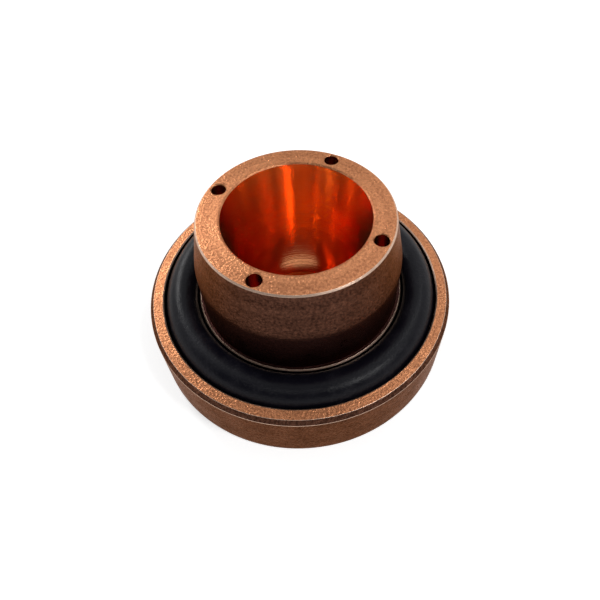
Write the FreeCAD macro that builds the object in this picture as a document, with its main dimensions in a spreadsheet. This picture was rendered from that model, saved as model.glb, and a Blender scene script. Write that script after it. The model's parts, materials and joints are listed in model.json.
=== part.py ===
"""Plasma torch nozzle: a copper body turned in one piece, and the O-ring in its face groove.

The body stands on the flat face of its flange, the face that the arc leaves by. The origin is the
centre of that face, +Z runs up the bore to the wide mouth, and every length is in millimetres.
"""

import math
import os

import FreeCAD, Part
import Sketcher

DRIVING_SIZES = [
    ("neck_diameter", 26.0, "straight neck that centres the nozzle in the torch"),
    ("neck_length", 6.6, "rim level to the start of the collar's taper"),
    ("collar_length", 6.2, "height of the tapered collar above the neck"),
    ("collar_taper", 1.2, "how much the collar's radius falls from the neck to its top"),
    ("shoulder_radius", 5.0, "blend where the neck turns into the taper"),
    ("ring_face_width", 2.8, "flat ring round the mouth at the top of the collar"),
    ("cone_taper", 3.3, "how much the conical bore's radius falls from the mouth to its end"),
    ("floor_drop", 1.0, "depth of the dished floor round the orifice"),
    ("orifice_diameter", 4.0, "hole that the arc leaves by"),
    ("orifice_length", 1.3, "length of that hole through the flat face"),
    ("feed_hole_diameter", 1.8, "each feed hole"),
    ("feed_hole_wall", 0.4, "metal between a feed hole and the collar's top edge"),
    ("feed_hole_count", 4, "feed holes, evenly spaced"),
    ("feed_hole_bevel", 0.12, "edge break at both ends of a feed hole"),
    ("ring_section", 4.4, "thickness of the O-ring"),
    ("ring_stand_out", 1.2, "how far the O-ring stands above the rim"),
    ("ring_inner_gap", 0.1, "O-ring's inside to the groove's inner wall"),
    ("ring_outer_gap", 0.2, "O-ring's outside to the groove's outer wall"),
    ("ledge_width", 0.5, "ledge between the neck and the groove"),
    ("rim_width", 1.8, "metal outside the groove"),
    ("rim_bevel", 0.5, "45 degree bevel round the top of the rim"),
    ("flange_thickness", 7.8, "flat face to the top of the flange's rim"),
    ("edge_break", 0.15, "fine bevel on the turned edges"),
    ("face_edge_bevel", 0.3, "bevel round the flat face and round the orifice's exit"),
]

NECK_RADIUS = "(sizes.neck_diameter / 2)"
COLLAR_TOP_RADIUS = f"({NECK_RADIUS} - sizes.collar_taper)"
MOUTH_RADIUS = f"({COLLAR_TOP_RADIUS} - sizes.ring_face_width)"
CONE_END_RADIUS = f"({MOUTH_RADIUS} - sizes.cone_taper)"
ORIFICE_RADIUS = "(sizes.orifice_diameter / 2)"
FEED_HOLE_RADIUS = "(sizes.feed_hole_diameter / 2)"
FEED_CIRCLE_RADIUS = f"({COLLAR_TOP_RADIUS} - sizes.feed_hole_wall - {FEED_HOLE_RADIUS})"
GROOVE_INNER_RADIUS = f"({NECK_RADIUS} + sizes.ledge_width)"
RING_CENTRE_RADIUS = f"({GROOVE_INNER_RADIUS} + sizes.ring_inner_gap + sizes.ring_section / 2)"
GROOVE_OUTER_RADIUS = f"({RING_CENTRE_RADIUS} + sizes.ring_section / 2 + sizes.ring_outer_gap)"
FLANGE_RADIUS = f"({GROOVE_OUTER_RADIUS} + sizes.rim_width)"

RIM_LEVEL = "sizes.flange_thickness"
GROOVE_FLOOR_LEVEL = f"({RIM_LEVEL} + sizes.ring_stand_out - sizes.ring_section)"
RING_CENTRE_LEVEL = f"({GROOVE_FLOOR_LEVEL} + sizes.ring_section / 2)"
NECK_LEVEL = f"({RIM_LEVEL} + sizes.neck_length)"
TOP_LEVEL = f"({NECK_LEVEL} + sizes.collar_length)"
CONE_END_LEVEL = "(sizes.orifice_length + sizes.floor_drop)"


def make_sheet(doc):
    """Put the driving dimensions in the sheet, one row for each."""
    sheet = doc.addObject("Spreadsheet::Sheet", "sizes")
    for row, (name, value, note) in enumerate(DRIVING_SIZES, start=1):
        sheet.set(f"A{row}", name)
        sheet.set(f"B{row}", str(value))
        sheet.setAlias(f"B{row}", name)
        sheet.set(f"C{row}", note)
    doc.recompute()
    return sheet


def origin_plane(body, role):
    """Find one of the body's own origin planes."""
    for feature in body.Origin.OriginFeatures:
        if feature.Role == role:
            return feature
    raise RuntimeError(f"{body.Label} has no {role}")


def section_sketch(body, name):
    """Start a sketch on the body's XZ plane: across is the radius, up is the height."""
    sketch = body.newObject("Sketcher::SketchObject", name)
    sketch.AttachmentSupport = [(origin_plane(body, "XZ_Plane"), "")]
    sketch.MapMode = "FlatFace"
    return sketch


def bind_point(sketch, line, end, across, up):
    """Tie one end of a line to a radius and a height, each 0 or an expression on the sheet."""
    axes = (("DistanceX", across, -2), ("DistanceY", up, -1))
    for kind, expression, axis in axes:
        if expression == "0":
            sketch.addConstraint(Sketcher.Constraint("PointOnObject", line, end, axis))
            continue
        value = sketch.evalExpression(expression)
        index = sketch.addConstraint(Sketcher.Constraint(kind, -1, 1, line, end, float(value)))
        sketch.setExpression(f"Constraints[{index}]", expression)


def closed_profile(sketch, corners):
    """Draw straight sides through the corners, each corner tied to the sheet."""
    places = [FreeCAD.Vector(*(float(sketch.evalExpression(text)) for text in corner), 0)
              for corner in corners]
    count = len(corners)
    for number in range(count):
        side = Part.LineSegment(places[number], places[(number + 1) % count])
        sketch.addGeometry(side, False)
    for number in range(count):
        sketch.addConstraint(Sketcher.Constraint("Coincident", number, 2, (number + 1) % count, 1))
    for number, (across, up) in enumerate(corners):
        bind_point(sketch, number, 1, across, up)


def turned(body, kind, name, sketch, axis):
    """Turn a profile once round an axis: a Revolution adds metal and a Groove takes it away."""
    volume_before = body.Shape.Volume if body.Tip else 0.0
    feature = body.newObject(f"PartDesign::{kind}", name)
    feature.Profile = sketch
    feature.ReferenceAxis = (sketch, [axis])
    feature.Angle = 360.0
    body.Document.recompute()
    change = body.Shape.Volume - volume_before
    if (change > 0) != (kind == "Revolution"):
        raise RuntimeError(f"{name} changed the volume by {change:.1f} mm3")
    return feature


def ring_edges(shape, radius, level):
    """Name the circular edges round the Z axis that have this radius and height."""
    found = []
    for number, edge in enumerate(shape.Edges, start=1):
        curve = edge.Curve
        if not isinstance(curve, Part.Circle):
            continue
        off_axis = math.hypot(curve.Center.x, curve.Center.y)
        if max(off_axis, abs(curve.Radius - radius), abs(curve.Center.z - level)) < 1e-4:
            found.append(f"Edge{number}")
    if not found:
        raise RuntimeError(f"no edge of radius {radius} at height {level}")
    return found


def dressed(body, kind, name, size, places):
    """Fillet or chamfer the ring edges at these radii and heights, by a size on the sheet."""
    base = body.Tip
    names = []
    for across, up in places:
        radius = float(base.evalExpression(across))
        level = float(base.evalExpression(up))
        names += ring_edges(base.Shape, radius, level)
    feature = body.newObject(f"PartDesign::{kind}", name)
    feature.Base = (base, names)
    feature.setExpression("Radius" if kind == "Fillet" else "Size", size)
    body.Document.recompute()
    return feature


def add_blank(body):
    """Turn the outside: flange, straight neck and tapered collar."""
    sketch = section_sketch(body, "outside_profile")
    closed_profile(sketch, [
        ("0", "0"),
        (FLANGE_RADIUS, "0"),
        (FLANGE_RADIUS, f"{RIM_LEVEL} - sizes.rim_bevel"),
        (f"{FLANGE_RADIUS} - sizes.rim_bevel", RIM_LEVEL),
        (NECK_RADIUS, RIM_LEVEL),
        (NECK_RADIUS, NECK_LEVEL),
        (COLLAR_TOP_RADIUS, TOP_LEVEL),
        ("0", TOP_LEVEL),
    ])
    turned(body, "Revolution", "outside", sketch, "V_Axis")
    return sketch


def cut_ring_groove(body):
    """Cut the face groove that holds the O-ring."""
    sketch = section_sketch(body, "groove_profile")
    closed_profile(sketch, [
        (GROOVE_INNER_RADIUS, GROOVE_FLOOR_LEVEL),
        (GROOVE_OUTER_RADIUS, GROOVE_FLOOR_LEVEL),
        (GROOVE_OUTER_RADIUS, RIM_LEVEL),
        (GROOVE_INNER_RADIUS, RIM_LEVEL),
    ])
    turned(body, "Groove", "ring_groove", sketch, "V_Axis")


def cut_bore(body):
    """Cut the conical bore, its dished floor and the orifice through the flat face."""
    sketch = section_sketch(body, "bore_profile")
    closed_profile(sketch, [
        ("0", "0"),
        (ORIFICE_RADIUS, "0"),
        (ORIFICE_RADIUS, "sizes.orifice_length"),
        (CONE_END_RADIUS, CONE_END_LEVEL),
        (MOUTH_RADIUS, TOP_LEVEL),
        ("0", TOP_LEVEL),
    ])
    turned(body, "Groove", "bore", sketch, "V_Axis")


def cut_feed_holes(body, outside_sketch):
    """Drill one feed hole right through, with both ends broken, and repeat it round the axis."""
    wall = f"{FEED_CIRCLE_RADIUS} + {FEED_HOLE_RADIUS}"
    sketch = section_sketch(body, "feed_hole_profile")
    closed_profile(sketch, [
        (FEED_CIRCLE_RADIUS, "0"),
        (f"{wall} + sizes.feed_hole_bevel", "0"),
        (wall, "sizes.feed_hole_bevel"),
        (wall, f"{TOP_LEVEL} - sizes.feed_hole_bevel"),
        (f"{wall} + sizes.feed_hole_bevel", TOP_LEVEL),
        (FEED_CIRCLE_RADIUS, TOP_LEVEL),
    ])
    low = sketch.getPoint(0, 1)
    high = sketch.getPoint(5, 1)
    axis_line = sketch.addGeometry(Part.LineSegment(low, high), True)
    sketch.addConstraint(Sketcher.Constraint("Coincident", axis_line, 1, 0, 1))
    sketch.addConstraint(Sketcher.Constraint("Coincident", axis_line, 2, 5, 1))
    hole = turned(body, "Groove", "feed_hole", sketch, "Axis0")

    pattern = body.newObject("PartDesign::PolarPattern", "feed_holes")
    pattern.Originals = [hole]
    pattern.Axis = (outside_sketch, ["V_Axis"])
    pattern.Angle = 360.0
    pattern.setExpression("Occurrences", "sizes.feed_hole_count")
    body.Tip = pattern
    body.Document.recompute()


def finish_edges(body):
    """Blend the neck's shoulder and break the turned edges."""
    dressed(body, "Fillet", "shoulder_blend", "sizes.shoulder_radius", [
        (NECK_RADIUS, NECK_LEVEL),
    ])
    dressed(body, "Chamfer", "broken_edges", "sizes.edge_break", [
        (MOUTH_RADIUS, TOP_LEVEL),
        (COLLAR_TOP_RADIUS, TOP_LEVEL),
        (GROOVE_INNER_RADIUS, RIM_LEVEL),
        (GROOVE_OUTER_RADIUS, RIM_LEVEL),
    ])
    dressed(body, "Chamfer", "face_edges", "sizes.face_edge_bevel", [
        (FLANGE_RADIUS, "0"),
        (ORIFICE_RADIUS, "0"),
    ])


def make_nozzle_body(doc):
    """The copper body, all turned and drilled from one bar."""
    body = doc.addObject("PartDesign::Body", "nozzle_body")
    body.Label = "nozzle_body"
    outside_sketch = add_blank(body)
    cut_ring_groove(body)
    cut_bore(body)
    cut_feed_holes(body, outside_sketch)
    finish_edges(body)
    body.Placement = FreeCAD.Placement()
    return body


def make_o_ring(doc):
    """The rubber O-ring: it lies on the groove's floor, close round its inner wall."""
    body = doc.addObject("PartDesign::Body", "o_ring")
    body.Label = "o_ring"
    sketch = section_sketch(body, "ring_profile")
    centre = FreeCAD.Vector(
        float(sketch.evalExpression(RING_CENTRE_RADIUS)),
        float(sketch.evalExpression(RING_CENTRE_LEVEL)),
        0,
    )
    radius = float(sketch.evalExpression("sizes.ring_section / 2"))
    sketch.addGeometry(Part.Circle(centre, FreeCAD.Vector(0, 0, 1), radius), False)
    size = sketch.addConstraint(Sketcher.Constraint("Radius", 0, radius))
    sketch.setExpression(f"Constraints[{size}]", "sizes.ring_section / 2")
    bind_point(sketch, 0, 3, RING_CENTRE_RADIUS, RING_CENTRE_LEVEL)
    turned(body, "Revolution", "ring", sketch, "V_Axis")
    body.Placement = FreeCAD.Placement()
    return body


def check_document(doc, pieces):
    """Stop if anything failed to rebuild, or a piece isn't one valid solid."""
    for thing in doc.Objects:
        if "Invalid" in thing.State or "Error" in thing.State:
            raise RuntimeError(f"{thing.Label} failed: {thing.State}")
    for piece in pieces:
        shape = piece.Shape
        if shape.isNull() or not shape.isValid() or len(shape.Solids) != 1:
            raise RuntimeError(f"{piece.Label} isn't one valid solid")


def main():
    os.makedirs("parts", exist_ok=True)
    doc = FreeCAD.newDocument("plasma_torch_nozzle")
    make_sheet(doc)
    pieces = [make_nozzle_body(doc), make_o_ring(doc)]
    doc.recompute()
    check_document(doc, pieces)
    for piece in pieces:
        piece.Shape.exportStep(f"parts/{piece.Label}.step")
        box = piece.Shape.BoundBox
        print(f"{piece.Label}: {piece.Shape.Volume:.1f} mm3, "
              f"z {box.ZMin:.2f} to {box.ZMax:.2f}, across {box.XLength:.2f}")


main()
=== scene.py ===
"""Plasma torch nozzle: the finish of its turned copper body and of the O-ring in its groove."""

import json
import math

import bmesh
import bpy
from mathutils import Matrix, Vector


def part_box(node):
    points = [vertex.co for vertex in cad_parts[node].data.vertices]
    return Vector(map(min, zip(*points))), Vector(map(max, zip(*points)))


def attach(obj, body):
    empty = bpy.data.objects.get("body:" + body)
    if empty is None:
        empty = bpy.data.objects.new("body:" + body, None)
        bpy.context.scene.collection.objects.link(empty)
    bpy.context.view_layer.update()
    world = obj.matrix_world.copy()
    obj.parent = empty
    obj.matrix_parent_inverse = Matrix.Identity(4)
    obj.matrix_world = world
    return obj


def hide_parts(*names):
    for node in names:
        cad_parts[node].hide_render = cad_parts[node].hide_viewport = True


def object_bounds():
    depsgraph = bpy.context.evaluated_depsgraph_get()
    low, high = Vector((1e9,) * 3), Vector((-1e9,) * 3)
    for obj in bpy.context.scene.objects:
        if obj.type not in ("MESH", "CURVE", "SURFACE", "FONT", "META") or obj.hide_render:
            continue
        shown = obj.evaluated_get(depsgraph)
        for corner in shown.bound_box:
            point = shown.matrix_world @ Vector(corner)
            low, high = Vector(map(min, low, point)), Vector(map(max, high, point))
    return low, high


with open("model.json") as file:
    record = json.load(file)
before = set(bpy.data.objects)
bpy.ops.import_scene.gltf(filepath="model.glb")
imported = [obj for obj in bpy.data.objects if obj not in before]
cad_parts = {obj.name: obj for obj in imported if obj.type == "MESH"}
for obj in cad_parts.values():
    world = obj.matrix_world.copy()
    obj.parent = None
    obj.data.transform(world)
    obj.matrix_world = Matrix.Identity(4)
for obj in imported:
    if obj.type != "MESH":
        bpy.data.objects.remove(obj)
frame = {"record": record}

MM = 0.001
CAD_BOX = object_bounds()
MOUNTS = {mount["name"]: mount for mount in frame["record"]["mounts"]}

# Main sizes in millimetres, from the frame.
HEIGHT = CAD_BOX[1].z / MM
FLANGE_RADIUS = round(CAD_BOX[1].x / MM, 1)
RIM_LEVEL = MOUNTS["rim_face"]["pos_m"][2] / MM
NECK_RADIUS = MOUNTS["centring_neck"]["dims"]["r_mm"]
ORIFICE_RADIUS = MOUNTS["orifice"]["dims"]["r_mm"]
FEED_CIRCLE_RADIUS = MOUNTS["feed_holes"]["dims"]["pcd_mm"] / 2
FEED_HOLE_RADIUS = MOUNTS["feed_holes"]["dims"]["hole_r_mm"]
FEED_HOLE_COUNT = MOUNTS["feed_holes"]["dims"]["count"]
RING_LOW, RING_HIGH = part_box("o_ring")
RING_TUBE_RADIUS = (RING_HIGH.z - RING_LOW.z) / 2 / MM
RING_CENTRE_LEVEL = (RING_HIGH.z + RING_LOW.z) / 2 / MM
RING_CENTRE_RADIUS = round(RING_HIGH.x / MM, 1) - RING_TUBE_RADIUS

# Sizes of the turned outline, in millimetres.
COLLAR_TOP_RADIUS = 11.8
COLLAR_LENGTH = 6.2
MOUTH_RADIUS = 9.0
CONE_END_RADIUS = 5.7
CONE_END_LEVEL = 2.3
ORIFICE_LENGTH = 1.3
GROOVE_INNER_RADIUS = 13.5
GROOVE_OUTER_RADIUS = 18.2
GROOVE_FLOOR_LEVEL = RING_CENTRE_LEVEL - RING_TUBE_RADIUS
RIM_BEVEL = 0.5
FACE_EDGE_BEVEL = 0.3
EDGE_BREAK = 0.15
FEED_HOLE_BEVEL = 0.12
SHOULDER_RADIUS = 5.0
EDGE_ROUND = 0.05
BEVEL_ROUND = 0.09
CORNER_ROUND = 0.12

# How finely the round pieces are divided, and the angle past which an edge shows as sharp.
TURN_SEGMENTS = 256
RING_SECTION_STEPS = 56
DRILL_SEGMENTS = 48
ARC_STEPS = 4
ARC_HOLD = 0.03
SHARP_ANGLE = math.radians(32)

# The level below which painted shade darkens the neck and the groove, and the colour of the copper
# seen edge-on.
PAINTED_SHADE_LEVEL = HEIGHT - COLLAR_LENGTH - 0.1
EDGE_TINT = (0.80, 0.55, 0.45, 1)

# Each lamp's azimuth and elevation in degrees, and its power in watts. Azimuth 0 is the right of
# the camera's view.
LAMPS = [(128, 36, 0.24), (40, 56, 0.05), (-35, 56, 0.26), (-121, 66, 0.05)]
LAMP_SIZE = 0.05
LAMP_DISTANCE = 0.30

# The dim half domes beyond the lamps, the floor, and the light that fills the shadows.
FRONT_SCREEN_GLOW = 0.06
BACK_SCREEN_GLOW = 0.85
SCREEN_DISTANCE = 0.5
SCREEN_LOWEST = 24
SCREEN_STEPS = 12
FLOOR_HALF_WIDTH = 1.5
FLOOR_GLOW = 0.55
FILL_LIGHT = 0.4
GLOSSY_BOUNCES = 8

# The studio is turned so that the camera looks past the first feed hole, as the part was placed.
STUDIO_TURN = math.radians(-62.4)
CAMERA_DISTANCE = 69.13 * MM
CAMERA_ELEVATION = math.radians(52.85)
CAMERA_YAW = math.radians(-2.63)
CAMERA_PITCH = math.radians(2.91)
CAMERA_ROLL = math.radians(3.56)
CAMERA_LENS = 30.51
CAMERA_SHIFT = (-0.0371, -0.0790)


# ---------------------------------------------------------------- outlines

def rounded_corner(before, corner, after, radius):
    """Points of an arc of this radius in a corner, with a point just before and after it."""
    into = (corner - before).normalized()
    out = (after - corner).normalized()
    turn = into.angle_signed(out)
    if abs(turn) < 1e-4:
        return [corner]
    reach = radius * math.tan(abs(turn) / 2)
    room = min((corner - before).length, (after - corner).length) * 0.45
    reach = min(reach, room)
    radius = reach / math.tan(abs(turn) / 2)
    start = corner - into * reach
    side = Vector((into.y, -into.x)) * math.copysign(1, turn)
    centre = start + side * radius
    spoke = start - centre
    hold = min(ARC_HOLD, room * 0.5)
    points = [start - into * hold]
    for step in range(ARC_STEPS + 1):
        points.append(centre + Matrix.Rotation(-turn * step / ARC_STEPS, 2) @ spoke)
    points.append(points[-1] + out * hold)
    return points


def round_outline(corners):
    """A closed outline with every corner rounded. Each corner is radius, height, rounding."""
    points = []
    places = [Vector(corner[:2]) for corner in corners]
    for number, corner in enumerate(corners):
        before = places[number - 1]
        after = places[(number + 1) % len(places)]
        points += rounded_corner(before, places[number], after, corner[2])
    return points


def body_corners():
    """The corners of the copper body's section, from the orifice's exit round the outside."""
    collar_lean = (NECK_RADIUS - COLLAR_TOP_RADIUS) / COLLAR_LENGTH
    bore_lean = (MOUTH_RADIUS - CONE_END_RADIUS) / (HEIGHT - CONE_END_LEVEL)
    return [
        (ORIFICE_RADIUS + FACE_EDGE_BEVEL, 0, EDGE_ROUND),
        (FLANGE_RADIUS - FACE_EDGE_BEVEL, 0, EDGE_ROUND),
        (FLANGE_RADIUS, FACE_EDGE_BEVEL, EDGE_ROUND),
        (FLANGE_RADIUS, RIM_LEVEL - RIM_BEVEL, BEVEL_ROUND),
        (FLANGE_RADIUS - RIM_BEVEL, RIM_LEVEL, BEVEL_ROUND),
        (GROOVE_OUTER_RADIUS + EDGE_BREAK, RIM_LEVEL, EDGE_ROUND),
        (GROOVE_OUTER_RADIUS, RIM_LEVEL - EDGE_BREAK, EDGE_ROUND),
        (GROOVE_OUTER_RADIUS, GROOVE_FLOOR_LEVEL, CORNER_ROUND),
        (GROOVE_INNER_RADIUS, GROOVE_FLOOR_LEVEL, CORNER_ROUND),
        (GROOVE_INNER_RADIUS, RIM_LEVEL - EDGE_BREAK, EDGE_ROUND),
        (GROOVE_INNER_RADIUS - EDGE_BREAK, RIM_LEVEL, EDGE_ROUND),
        (NECK_RADIUS, RIM_LEVEL, EDGE_ROUND),
        (NECK_RADIUS, HEIGHT - COLLAR_LENGTH, SHOULDER_RADIUS),
        (COLLAR_TOP_RADIUS + EDGE_BREAK * collar_lean, HEIGHT - EDGE_BREAK, EDGE_ROUND),
        (COLLAR_TOP_RADIUS - EDGE_BREAK, HEIGHT, EDGE_ROUND),
        (MOUTH_RADIUS + EDGE_BREAK, HEIGHT, EDGE_ROUND),
        (MOUTH_RADIUS - EDGE_BREAK * bore_lean, HEIGHT - EDGE_BREAK, EDGE_ROUND),
        (CONE_END_RADIUS, CONE_END_LEVEL, CORNER_ROUND),
        (ORIFICE_RADIUS, ORIFICE_LENGTH, EDGE_ROUND),
        (ORIFICE_RADIUS, FACE_EDGE_BEVEL, EDGE_ROUND),
    ]


def lathe(name, outline):
    """Turn a closed outline, in millimetres, once round the Z axis and return a mesh object."""
    mesh = bpy.data.meshes.new(name)
    count = len(outline)
    verts = []
    for segment in range(TURN_SEGMENTS):
        angle = 2 * math.pi * segment / TURN_SEGMENTS
        across, along = math.cos(angle), math.sin(angle)
        verts += [(p.x * across * MM, p.x * along * MM, p.y * MM) for p in outline]
    faces = []
    for segment in range(TURN_SEGMENTS):
        here = segment * count
        there = (segment + 1) % TURN_SEGMENTS * count
        for number in range(count):
            following = (number + 1) % count
            faces.append((here + number, there + number, there + following, here + following))
    mesh.from_pydata(verts, [], faces)
    piece = bpy.data.objects.new(name, mesh)
    bpy.context.collection.objects.link(piece)
    point_outwards(mesh)
    return piece


def point_outwards(mesh):
    """Turn every face of a closed mesh outwards and shade it smooth between sharp edges."""
    form = bmesh.new()
    form.from_mesh(mesh)
    bmesh.ops.recalc_face_normals(form, faces=form.faces)
    form.to_mesh(mesh)
    form.free()
    mesh.shade_smooth()
    mesh.set_sharp_from_angle(angle=SHARP_ANGLE)


# ---------------------------------------------------------------- drilled holes

def make_drill():
    """The space that one feed hole takes: a straight hole that flares at both ends."""
    spare = 1.0
    flared = FEED_HOLE_RADIUS + FEED_HOLE_BEVEL
    outline = [
        (flared + spare, -spare),
        (FEED_HOLE_RADIUS, FEED_HOLE_BEVEL),
        (FEED_HOLE_RADIUS, HEIGHT - FEED_HOLE_BEVEL),
        (flared + spare, HEIGHT + spare),
    ]
    form = bmesh.new()
    rings = []
    for across, up in outline:
        ring = []
        for segment in range(DRILL_SEGMENTS):
            angle = 2 * math.pi * segment / DRILL_SEGMENTS
            place = (across * math.cos(angle) * MM, across * math.sin(angle) * MM, up * MM)
            ring.append(form.verts.new(place))
        rings.append(ring)
    for low, high in zip(rings, rings[1:]):
        for number in range(DRILL_SEGMENTS):
            following = (number + 1) % DRILL_SEGMENTS
            form.faces.new((low[number], low[following], high[following], high[number]))
    form.faces.new(reversed(rings[0]))
    form.faces.new(rings[-1])
    bmesh.ops.recalc_face_normals(form, faces=form.faces)
    mesh = bpy.data.meshes.new("drill")
    form.to_mesh(mesh)
    form.free()
    drill = bpy.data.objects.new("drill", mesh)
    bpy.context.collection.objects.link(drill)
    return drill


def drilling_tree():
    """A node tree that drills evenly spaced holes, on a circle round the axis, through a piece."""
    tree = bpy.data.node_groups.new("drill_feed_holes", "GeometryNodeTree")
    sockets = tree.interface
    sockets.new_socket("Geometry", in_out="INPUT", socket_type="NodeSocketGeometry")
    sockets.new_socket("Drill", in_out="INPUT", socket_type="NodeSocketObject")
    sockets.new_socket("Hole Count", in_out="INPUT", socket_type="NodeSocketInt")
    sockets.new_socket("Circle Radius", in_out="INPUT", socket_type="NodeSocketFloat")
    sockets.new_socket("Material", in_out="INPUT", socket_type="NodeSocketMaterial")
    sockets.new_socket("Geometry", in_out="OUTPUT", socket_type="NodeSocketGeometry")

    inlet = tree.nodes.new("NodeGroupInput")
    outlet = tree.nodes.new("NodeGroupOutput")
    circle = tree.nodes.new("GeometryNodeMeshCircle")
    tool = tree.nodes.new("GeometryNodeObjectInfo")
    spread = tree.nodes.new("GeometryNodeInstanceOnPoints")
    solid_tools = tree.nodes.new("GeometryNodeRealizeInstances")
    cut = tree.nodes.new("GeometryNodeMeshBoolean")
    cut.operation = "DIFFERENCE"
    cut.solver = "EXACT"
    whole = tree.nodes.new("GeometryNodeRealizeInstances")
    coat = tree.nodes.new("GeometryNodeSetMaterial")

    link = tree.links.new
    link(inlet.outputs["Hole Count"], circle.inputs["Vertices"])
    link(inlet.outputs["Circle Radius"], circle.inputs["Radius"])
    link(inlet.outputs["Drill"], tool.inputs["Object"])
    link(circle.outputs["Mesh"], spread.inputs["Points"])
    link(tool.outputs["Geometry"], spread.inputs["Instance"])
    link(spread.outputs["Instances"], solid_tools.inputs["Geometry"])
    link(inlet.outputs["Geometry"], cut.inputs["Mesh 1"])
    link(solid_tools.outputs["Geometry"], cut.inputs["Mesh 2"])
    link(cut.outputs["Mesh"], whole.inputs["Geometry"])
    link(whole.outputs["Geometry"], coat.inputs["Geometry"])
    link(inlet.outputs["Material"], coat.inputs["Material"])
    link(coat.outputs["Geometry"], outlet.inputs["Geometry"])
    return tree


def drill_feed_holes(piece, material):
    """Drill the feed holes through the body and keep the result as a plain mesh."""
    drill = make_drill()
    modifier = piece.modifiers.new("feed_holes", "NODES")
    modifier.node_group = drilling_tree()
    values = {
        "Drill": drill,
        "Hole Count": FEED_HOLE_COUNT,
        "Circle Radius": FEED_CIRCLE_RADIUS * MM,
        "Material": material,
    }
    for item in modifier.node_group.interface.items_tree:
        if item.in_out == "INPUT" and item.name in values:
            modifier[item.identifier] = values[item.name]
    seen = piece.evaluated_get(bpy.context.evaluated_depsgraph_get())
    drilled = bpy.data.meshes.new_from_object(seen)
    piece.modifiers.clear()
    piece.data = drilled
    bpy.data.objects.remove(drill)
    drilled.shade_smooth()
    drilled.set_sharp_from_angle(angle=SHARP_ANGLE)


# ---------------------------------------------------------------- shader groups

def new_group(name, inputs, outputs):
    """A shader node group with these named sockets, and its inlet and outlet."""
    tree = bpy.data.node_groups.new(name, "ShaderNodeTree")
    for label, kind, value in inputs:
        socket = tree.interface.new_socket(label, in_out="INPUT", socket_type=f"NodeSocket{kind}")
        socket.default_value = value
    for label, kind in outputs:
        tree.interface.new_socket(label, in_out="OUTPUT", socket_type=f"NodeSocket{kind}")
    return tree, tree.nodes.new("NodeGroupInput"), tree.nodes.new("NodeGroupOutput")


def math_node(tree, operation, first, second=None):
    """A Math node; each value is a number or a socket. Returns its output."""
    maths = tree.nodes.new("ShaderNodeMath")
    maths.operation = operation
    for socket, value in zip(maths.inputs, (first, second)):
        if isinstance(value, bpy.types.NodeSocket):
            tree.links.new(value, socket)
        elif value is not None:
            socket.default_value = value
    return maths.outputs[0]


def noise_node(tree, dimensions, scale, detail, place=None, roughness=0.5):
    """A Noise Texture that reads this vector, or this number in one dimension."""
    noise = tree.nodes.new("ShaderNodeTexNoise")
    noise.noise_dimensions = dimensions
    noise.inputs["Scale"].default_value = scale
    noise.inputs["Detail"].default_value = detail
    noise.inputs["Roughness"].default_value = roughness
    if place is not None:
        tree.links.new(place, noise.inputs["W" if dimensions == "1D" else "Vector"])
    return noise.outputs[0]


def ranged(tree, value, from_low, from_high, to_low, to_high):
    """Map a value from one range to another, and clamp it."""
    spread = tree.nodes.new("ShaderNodeMapRange")
    tree.links.new(value, spread.inputs["Value"])
    for label, number in (("From Min", from_low), ("From Max", from_high),
                          ("To Min", to_low), ("To Max", to_high)):
        spread.inputs[label].default_value = number
    return spread.outputs["Result"]


def mixed(tree, factor, first, second, blend="MIX"):
    """Mix two colours, each a socket or four numbers."""
    mix = tree.nodes.new("ShaderNodeMix")
    mix.data_type = "RGBA"
    mix.blend_type = blend
    for socket, value in ((mix.inputs[0], factor), (mix.inputs[6], first), (mix.inputs[7], second)):
        if isinstance(value, bpy.types.NodeSocket):
            tree.links.new(value, socket)
        else:
            socket.default_value = value
    return mix.outputs[2]


def turning_marks_group():
    """Rings left by the lathe's tool, seen across a face as circles and along a wall as bands."""
    tree, inlet, outlet = new_group(
        "turning_marks",
        [("Marks Per Mm", "Float", 4.0), ("Waviness", "Float", 0.3)],
        [("Height", "Float"), ("Bands", "Float")],
    )
    place = tree.nodes.new("ShaderNodeTexCoord").outputs["Object"]
    parts = tree.nodes.new("ShaderNodeSeparateXYZ")
    tree.links.new(place, parts.inputs[0])
    radius = math_node(tree, "SQRT", math_node(
        tree, "ADD",
        math_node(tree, "MULTIPLY", parts.outputs["X"], parts.outputs["X"]),
        math_node(tree, "MULTIPLY", parts.outputs["Y"], parts.outputs["Y"]),
    ))
    along = math_node(tree, "ADD", radius, parts.outputs["Z"])
    along_mm = math_node(tree, "DIVIDE", along, MM)
    drift = noise_node(tree, "3D", 60.0, 2.0, place)
    wavy = math_node(tree, "ADD", along_mm, math_node(
        tree, "MULTIPLY", drift, math_node(tree, "MULTIPLY", inlet.outputs["Waviness"], 0.3)))
    marks = math_node(tree, "MULTIPLY", wavy, inlet.outputs["Marks Per Mm"])
    fine = noise_node(tree, "1D", 1.0, 2.0, marks, 0.6)
    broad = noise_node(tree, "1D", 0.22, 1.0, marks)
    height = math_node(tree, "ADD", fine, math_node(tree, "MULTIPLY", broad, 0.6))
    tree.links.new(height, outlet.inputs["Height"])
    tree.links.new(ranged(tree, broad, 0.3, 0.7, 0.0, 1.0), outlet.inputs["Bands"])
    return tree


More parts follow.
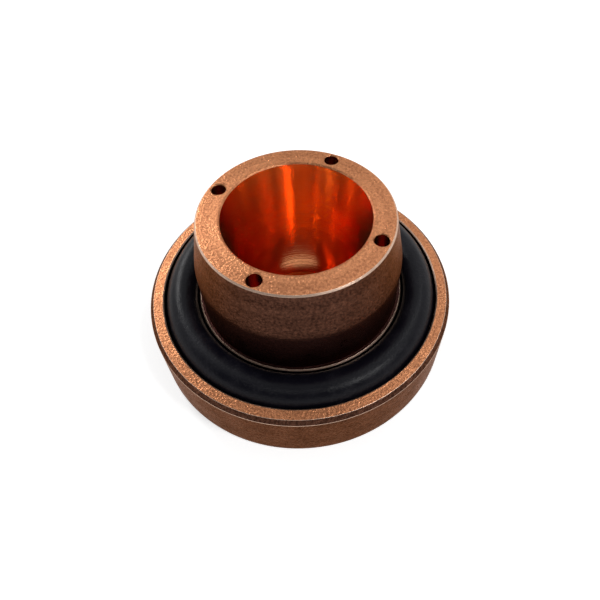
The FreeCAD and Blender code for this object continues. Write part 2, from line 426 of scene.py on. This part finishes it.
def metal_grain_group():
    """Fine grain of machined copper, in specks and in soft patches."""
    tree, inlet, outlet = new_group(
        "metal_grain",
        [("Specks Per Mm", "Float", 3.0)],
        [("Grain", "Float"), ("Patches", "Float")],
    )
    place = tree.nodes.new("ShaderNodeTexCoord").outputs["Object"]
    larger = tree.nodes.new("ShaderNodeVectorMath")
    larger.operation = "SCALE"
    tree.links.new(place, larger.inputs[0])
    tree.links.new(math_node(tree, "DIVIDE", inlet.outputs["Specks Per Mm"], MM),
                   larger.inputs["Scale"])
    grain = noise_node(tree, "3D", 1.0, 3.0, larger.outputs[0], 0.65)
    patches = noise_node(tree, "3D", 0.12, 3.0, larger.outputs[0], 0.55)
    tree.links.new(ranged(tree, grain, 0.33, 0.67, 0.0, 1.0), outlet.inputs["Grain"])
    tree.links.new(ranged(tree, patches, 0.32, 0.68, 0.0, 1.0), outlet.inputs["Patches"])
    return tree


def tarnish_group():
    """Copper's colour over the surface: clean metal, browner patches, and specks of each."""
    tree, inlet, outlet = new_group(
        "tarnish",
        [("Clean", "Color", (0.8, 0.4, 0.25, 1)), ("Brown", "Color", (0.4, 0.2, 0.12, 1)),
         ("Patches", "Float", 0.5), ("Grain", "Float", 0.5), ("Bands", "Float", 0.5),
         ("Amount", "Float", 0.5)],
        [("Color", "Color")],
    )
    stain = math_node(tree, "MULTIPLY", inlet.outputs["Patches"], 0.15)
    stain = math_node(tree, "ADD", stain, math_node(tree, "MULTIPLY", inlet.outputs["Grain"], 0.7))
    stain = math_node(tree, "ADD", stain, math_node(tree, "MULTIPLY", inlet.outputs["Bands"], 0.15))
    stain = math_node(tree, "MULTIPLY", stain, inlet.outputs["Amount"])
    colour = mixed(tree, stain, inlet.outputs["Clean"], inlet.outputs["Brown"])
    tree.links.new(colour, outlet.inputs["Color"])
    return tree


def foot_shade_group():
    """1 below a level and 0 above it, with a soft and uneven step between them."""
    tree, inlet, outlet = new_group(
        "foot_shade",
        [("Level Mm", "Float", 14.0), ("Softness Mm", "Float", 0.8)],
        [("Shade", "Float")],
    )
    place = tree.nodes.new("ShaderNodeTexCoord").outputs["Object"]
    parts = tree.nodes.new("ShaderNodeSeparateXYZ")
    tree.links.new(place, parts.inputs[0])
    height = math_node(tree, "DIVIDE", parts.outputs["Z"], MM)
    uneven = math_node(tree, "MULTIPLY", noise_node(tree, "3D", 700.0, 3.0, place), 0.5)
    above = math_node(tree, "SUBTRACT", math_node(tree, "ADD", height, uneven),
                      inlet.outputs["Level Mm"])
    share = math_node(tree, "DIVIDE", above, inlet.outputs["Softness Mm"])
    tree.links.new(ranged(tree, share, -0.5, 0.5, 1.0, 0.0), outlet.inputs["Shade"])
    return tree


# ---------------------------------------------------------------- materials

def new_material(name):
    """A material with an empty node tree but for its Principled shader and output."""
    material = bpy.data.materials.new(name)
    material.use_nodes = True
    tree = material.node_tree
    return material, tree, tree.nodes["Principled BSDF"]


def place_group(tree, group, **values):
    """Put a node group in a material, with its own values; a socket as a value is linked."""
    node = tree.nodes.new("ShaderNodeGroup")
    node.node_tree = group
    for label, value in values.items():
        socket = node.inputs[label.replace("_", " ")]
        if isinstance(value, bpy.types.NodeSocket):
            tree.links.new(value, socket)
        else:
            socket.default_value = value
    return node.outputs


def copper(name, groups, clean, brown, tarnish, rough, marks, mark_depth, grain_depth, stretch,
           painted_foot_shade=None):
    """A machined copper finish, from clean to brown. rough is its lowest and highest roughness,
    marks are its turning marks per millimetre, depths are in millimetres, stretch is how far its
    highlights draw out across the marks, and the last argument is the painted shade colour that it
    darkens to below the shoulder, on the neck and in the groove."""
    material, tree, shader = new_material(name)
    turning, grain, stain, foot_shade = groups
    lathe_marks = place_group(tree, turning, Marks_Per_Mm=marks, Waviness=0.5)
    specks = place_group(tree, grain, Specks_Per_Mm=3.2)
    colour = place_group(tree, stain, Clean=clean, Brown=brown, Amount=tarnish,
                         Patches=specks["Patches"], Grain=specks["Grain"],
                         Bands=lathe_marks["Bands"])["Color"]
    # Painted shade: below the shoulder the colour darkens to a near-black brown, on the neck and in
    # the O-ring's groove, where the O-ring and the rim shade the copper.
    if painted_foot_shade:
        shade = place_group(tree, foot_shade, Level_Mm=PAINTED_SHADE_LEVEL, Softness_Mm=0.9)["Shade"]
        colour = mixed(tree, shade, colour, painted_foot_shade)
    shader.inputs["Metallic"].default_value = 1.0
    shader.inputs["Specular Tint"].default_value = EDGE_TINT
    shader.inputs["Anisotropic"].default_value = stretch
    shader.inputs["Anisotropic Rotation"].default_value = 0.25
    tangent = tree.nodes.new("ShaderNodeTangent")
    tangent.direction_type = "RADIAL"
    tangent.axis = "Z"
    tree.links.new(tangent.outputs[0], shader.inputs["Tangent"])
    tree.links.new(colour, shader.inputs["Base Color"])
    wear = math_node(tree, "ADD", math_node(tree, "MULTIPLY", specks["Grain"], 0.5),
                     math_node(tree, "MULTIPLY", specks["Patches"], 0.5))
    tree.links.new(ranged(tree, wear, 0.0, 1.0, *rough), shader.inputs["Roughness"])

    ridges = tree.nodes.new("ShaderNodeBump")
    ridges.inputs["Distance"].default_value = mark_depth * MM
    ridges.inputs["Strength"].default_value = 1.0
    tree.links.new(lathe_marks["Height"], ridges.inputs["Height"])
    bumps = tree.nodes.new("ShaderNodeBump")
    bumps.inputs["Distance"].default_value = grain_depth * MM
    bumps.inputs["Strength"].default_value = 1.0
    tree.links.new(specks["Grain"], bumps.inputs["Height"])
    tree.links.new(ridges.outputs["Normal"], bumps.inputs["Normal"])
    tree.links.new(bumps.outputs["Normal"], shader.inputs["Normal"])
    return material


def rubber(grain):
    """Satin black rubber with a trace of dust."""
    material, tree, shader = new_material("black_rubber")
    specks = place_group(tree, grain, Specks_Per_Mm=3.0)
    dust = math_node(tree, "MULTIPLY", specks["Patches"], specks["Grain"])
    colour = mixed(tree, ranged(tree, dust, 0.2, 0.9, 0.0, 0.6),
                   (0.003, 0.003, 0.006, 1), (0.016, 0.015, 0.020, 1))
    tree.links.new(colour, shader.inputs["Base Color"])
    tree.links.new(ranged(tree, specks["Patches"], 0.0, 1.0, 0.28, 0.42),
                   shader.inputs["Roughness"])
    shader.inputs["Specular IOR Level"].default_value = 0.16
    bumps = tree.nodes.new("ShaderNodeBump")
    bumps.inputs["Distance"].default_value = 0.012 * MM
    tree.links.new(specks["Grain"], bumps.inputs["Height"])
    tree.links.new(bumps.outputs["Normal"], shader.inputs["Normal"])
    return material


def copper_finishes(groups):
    """The finishes of the one copper body, by the cut that left them; the dark colours of the walls
    and of the bore floor are partly painted shade.
    """
    return {
        "faced": copper("faced_copper", groups, clean=(0.72, 0.31, 0.145, 1),
                        brown=(0.26, 0.095, 0.045, 1), tarnish=1.0, rough=(0.22, 0.40),
                        marks=5.0, mark_depth=0.018, grain_depth=0.030, stretch=0.8),
        # The turned walls' and the collar's dark copper-brown is partly duller, tarnished turned
        # copper and partly painted shade for the dark surroundings that the walls reflect.
        "turned": copper("turned_copper", groups, clean=(0.135, 0.058, 0.036, 1),
                         brown=(0.016, 0.006, 0.004, 1), tarnish=1.0, rough=(0.28, 0.46),
                         marks=5.0, mark_depth=0.010, grain_depth=0.045, stretch=0.3),
        "collar": copper("collar_copper", groups, clean=(0.125, 0.054, 0.034, 1),
                         brown=(0.014, 0.005, 0.004, 1), tarnish=1.0, rough=(0.26, 0.42),
                         marks=5.0, mark_depth=0.006, grain_depth=0.036, stretch=0.3,
                         # painted shade below the shoulder, on the neck and in the groove
                         painted_foot_shade=(0.035, 0.014, 0.012, 1)),
        "edge": copper("edge_copper", groups, clean=(0.74, 0.54, 0.42, 1),
                       brown=(0.40, 0.24, 0.17, 1), tarnish=0.5, rough=(0.36, 0.50),
                       marks=5.0, mark_depth=0.002, grain_depth=0.010, stretch=0.0),
        "bored": copper("bored_copper", groups, clean=(0.90, 0.47, 0.22, 1),
                        brown=(0.80, 0.36, 0.15, 1), tarnish=0.5, rough=(0.11, 0.17),
                        marks=3.5, mark_depth=0.012, grain_depth=0.002, stretch=0.78),
        # The bore floor's deep dark red is painted shade and painted interreflected colour for the
        # bottom of the deep bore.
        "bore_floor": copper("bore_floor_copper", groups, clean=(0.34, 0.045, 0.008, 1),
                             brown=(0.20, 0.02, 0.004, 1), tarnish=0.8, rough=(0.32, 0.46),
                             marks=4.0, mark_depth=0.008, grain_depth=0.010, stretch=0.3),
    }


def distance_to_feed_hole(place):
    """How far a place, in millimetres, lies from the axis of the nearest feed hole."""
    distances = []
    for number in range(FEED_HOLE_COUNT):
        angle = 2 * math.pi * number / FEED_HOLE_COUNT
        across = place.x - FEED_CIRCLE_RADIUS * math.cos(angle)
        along = place.y - FEED_CIRCLE_RADIUS * math.sin(angle)
        distances.append(math.hypot(across, along))
    return min(distances)


def finish_of(face):
    """Which cut left this face of the body, from where the face lies and how it slopes."""
    near = 0.1
    centre = face.center / MM
    radius = math.hypot(centre.x, centre.y)
    slope = abs(face.normal.z)
    level = slope > 0.97
    above_groove_floor = centre.z > GROOVE_FLOOR_LEVEL - near
    if radius < CONE_END_RADIUS + near and FACE_EDGE_BEVEL < centre.z < CONE_END_LEVEL + near:
        return "bore_floor"
    if level and above_groove_floor and NECK_RADIUS - near < radius < GROOVE_OUTER_RADIUS:
        return "collar"
    if level:
        return "faced"
    if slope < 0.1 and distance_to_feed_hole(centre) < FEED_HOLE_RADIUS + 0.01:
        return "bored"
    if abs(radius - NECK_RADIUS) < near and centre.z < RIM_LEVEL + near:
        return "collar"
    if slope > 0.25:
        if radius > FLANGE_RADIUS - RIM_BEVEL and abs(slope - math.sqrt(0.5)) < 0.02:
            return "turned"
        return "edge" if radius > COLLAR_TOP_RADIUS - EDGE_BREAK - near else "faced"
    bore_radius = CONE_END_RADIUS + (MOUTH_RADIUS - CONE_END_RADIUS) * centre.z / HEIGHT
    if radius < bore_radius + 1:
        return "bored"
    return "collar" if radius < GROOVE_OUTER_RADIUS + near else "turned"


# ---------------------------------------------------------------- pieces

def make_body(finishes):
    """The copper body: turned, drilled, and given its finish cut by cut."""
    piece = lathe("copper_body", round_outline(body_corners()))
    names = list(finishes)
    drill_feed_holes(piece, finishes["turned"])
    piece.data.materials.clear()
    for name in names:
        piece.data.materials.append(finishes[name])
    for face in piece.data.polygons:
        face.material_index = names.index(finish_of(face))
    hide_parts("nozzle_body")
    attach(piece, "root")
    return piece


def make_ring(material):
    """The O-ring, a plain round section that lies on the groove's floor."""
    outline = []
    for step in range(RING_SECTION_STEPS):
        angle = 2 * math.pi * step / RING_SECTION_STEPS
        outline.append(Vector((RING_CENTRE_RADIUS + RING_TUBE_RADIUS * math.cos(angle),
                               RING_CENTRE_LEVEL + RING_TUBE_RADIUS * math.sin(angle))))
    piece = lathe("rubber_ring", outline)
    piece.data.materials.append(material)
    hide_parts("o_ring")
    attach(piece, "root")
    return piece


# ---------------------------------------------------------------- studio

def add_camera():
    """A close camera above the front of the flange."""
    camera = bpy.data.objects.new("camera", bpy.data.cameras.new("camera"))
    bpy.context.collection.objects.link(camera)
    back = Vector((0, -math.cos(CAMERA_ELEVATION), math.sin(CAMERA_ELEVATION)))
    right = Vector((1, 0, 0))
    up = back.cross(right)
    stance = Matrix((right, up, back)).transposed()
    stance = stance @ Matrix.Rotation(CAMERA_YAW, 3, "Y")
    stance = stance @ Matrix.Rotation(CAMERA_PITCH, 3, "X")
    stance = stance @ Matrix.Rotation(-CAMERA_ROLL, 3, "Z")
    studio = Matrix.Rotation(STUDIO_TURN, 3, "Z")
    place = Vector((0, 0, RIM_LEVEL * MM)) + studio @ (back * CAMERA_DISTANCE)
    camera.matrix_world = Matrix.Translation(place) @ (studio @ stance).to_4x4()
    camera.data.lens = CAMERA_LENS
    camera.data.sensor_width = 36
    camera.data.shift_x, camera.data.shift_y = CAMERA_SHIFT
    camera.data.clip_start = 0.005
    bpy.context.scene.camera = camera


def studio_direction(azimuth, elevation):
    """The direction towards a place in the studio. Azimuth 0 is the right of the view."""
    turn = math.radians(azimuth) + STUDIO_TURN
    rise = math.radians(elevation)
    return Vector((math.cos(turn) * math.cos(rise), math.sin(turn) * math.cos(rise), math.sin(rise)))


def add_lamp(name, azimuth, elevation, power):
    """A soft square lamp that faces the nozzle."""
    lamp = bpy.data.objects.new(name, bpy.data.lights.new(name, "AREA"))
    bpy.context.collection.objects.link(lamp)
    out = studio_direction(azimuth, elevation)
    lamp.location = Vector((0, 0, HEIGHT / 2 * MM)) + out * LAMP_DISTANCE
    lamp.rotation_euler = out.to_track_quat("Z", "Y").to_euler()
    lamp.data.size = LAMP_SIZE
    lamp.data.energy = power
    return lamp


def add_screen(name, first_azimuth, last_azimuth, brightness):
    """A dim half dome beyond the lamps, which only shows in the metal."""
    row_length = SCREEN_STEPS + 1
    mesh = bpy.data.meshes.new(name)
    verts = []
    for row in range(row_length):
        elevation = SCREEN_LOWEST + (90 - SCREEN_LOWEST) * row / SCREEN_STEPS
        for column in range(row_length):
            azimuth = first_azimuth + (last_azimuth - first_azimuth) * column / SCREEN_STEPS
            verts.append(studio_direction(azimuth, elevation) * SCREEN_DISTANCE)
    faces = []
    for row in range(SCREEN_STEPS):
        for column in range(SCREEN_STEPS):
            corner = row * row_length + column
            faces.append((corner, corner + 1, corner + row_length + 1, corner + row_length))
    mesh.from_pydata(verts, [], faces)
    screen = bpy.data.objects.new(name, mesh)
    bpy.context.collection.objects.link(screen)
    screen.visible_camera = False
    screen.visible_diffuse = False
    screen.visible_shadow = False
    material, tree, shader = new_material(name)
    shader.inputs["Base Color"].default_value = (0, 0, 0, 1)
    shader.inputs["Specular IOR Level"].default_value = 0.0
    shader.inputs["Emission Color"].default_value = (1, 1, 1, 1)
    shader.inputs["Emission Strength"].default_value = brightness
    mesh.materials.append(material)
    return screen


def add_floor():
    """A plain pale floor that keeps the nozzle's shadow."""
    half = FLOOR_HALF_WIDTH
    mesh = bpy.data.meshes.new("floor")
    corners = [(-half, -half, 0), (half, -half, 0), (half, half, 0), (-half, half, 0)]
    mesh.from_pydata(corners, [], [(0, 1, 2, 3)])
    floor = bpy.data.objects.new("floor", mesh)
    bpy.context.collection.objects.link(floor)
    material, tree, shader = new_material("pale_floor")
    shader.inputs["Base Color"].default_value = (0.8, 0.8, 0.8, 1)
    shader.inputs["Roughness"].default_value = 0.9
    shader.inputs["Specular IOR Level"].default_value = 0.0
    shader.inputs["Emission Color"].default_value = (1, 1, 1, 1)
    tree.links.new(math_node(tree, "MULTIPLY", background_rays(tree), FLOOR_GLOW),
                   shader.inputs["Emission Strength"])
    mesh.materials.append(material)


def background_rays(tree):
    """1 for the rays that show the background, straight or in metal or glass, and 0 for others."""
    path = tree.nodes.new("ShaderNodeLightPath").outputs
    shown = math_node(tree, "MAXIMUM", path["Is Camera Ray"], path["Is Glossy Ray"])
    return math_node(tree, "MAXIMUM", shown, path["Is Transmission Ray"])


def light_world():
    """White where it is seen, and a softer fill where it only lights."""
    world = bpy.data.worlds.new("studio")
    world.use_nodes = True
    bpy.context.scene.world = world
    tree = world.node_tree
    backdrop = tree.nodes["Background"]
    backdrop.inputs["Color"].default_value = (1, 1, 1, 1)
    strength = ranged(tree, background_rays(tree), 0.0, 1.0, FILL_LIGHT, 1.0)
    tree.links.new(strength, backdrop.inputs["Strength"])


def light_studio():
    """Soft lamps round the nozzle, before a dim front and a brighter back of the room."""
    for number, (azimuth, elevation, power) in enumerate(LAMPS, 1):
        add_lamp(f"lamp_{number}", azimuth, elevation, power)
    add_screen("front_screen", -180, 0, FRONT_SCREEN_GLOW)
    add_screen("back_screen", 0, 180, BACK_SCREEN_GLOW)


def main():
    turning = turning_marks_group()
    grain = metal_grain_group()
    groups = (turning, grain, tarnish_group(), foot_shade_group())
    make_body(copper_finishes(groups))
    make_ring(rubber(grain))
    add_floor()
    light_world()
    light_studio()
    add_camera()
    bpy.context.scene.view_settings.view_transform = "Standard"
    bpy.context.scene.cycles.glossy_bounces = GLOSSY_BOUNCES


main()
